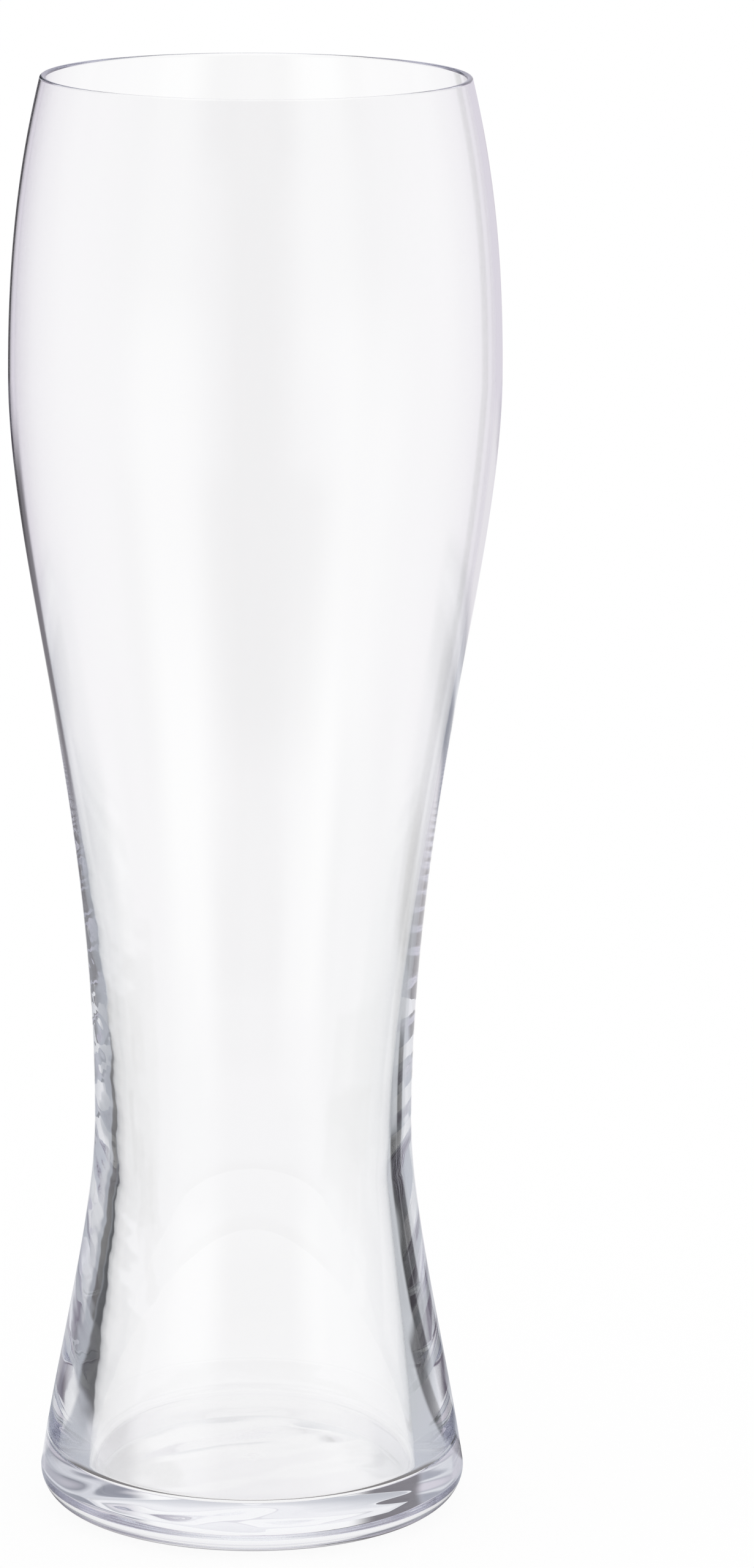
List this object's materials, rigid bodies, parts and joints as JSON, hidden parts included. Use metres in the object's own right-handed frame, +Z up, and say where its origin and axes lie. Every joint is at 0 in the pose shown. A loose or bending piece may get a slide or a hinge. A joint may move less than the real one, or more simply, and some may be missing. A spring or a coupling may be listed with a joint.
{
  "type": "beer glass",
  "caption": "Tall waisted clear beer glass with a thick round base, flared foot, narrow waist, full bowl and thin rounded rim, for serving wheat beer.",
  "frame": {"origin": "middle of the standing plane, on the glass's axis", "axes": "+Z up along the glass's axis from the base to the rim; X and Y are level and alike, as the glass is round"},
  "size_m": [0.08, 0.08, 0.238],
  "materials": {
    "clear_glass": "polished clear glass, smooth outside, with faint ripples inside the thick lower wall"
  },
  "bodies": {
    "root": {"base": "clear_glass", "foot_flare": "clear_glass", "waist": "clear_glass", "bowl_taper": "clear_glass", "bowl_belly": "clear_glass", "bowl_shoulder": "clear_glass", "rim": "clear_glass"}
  },
  "joints": []
}
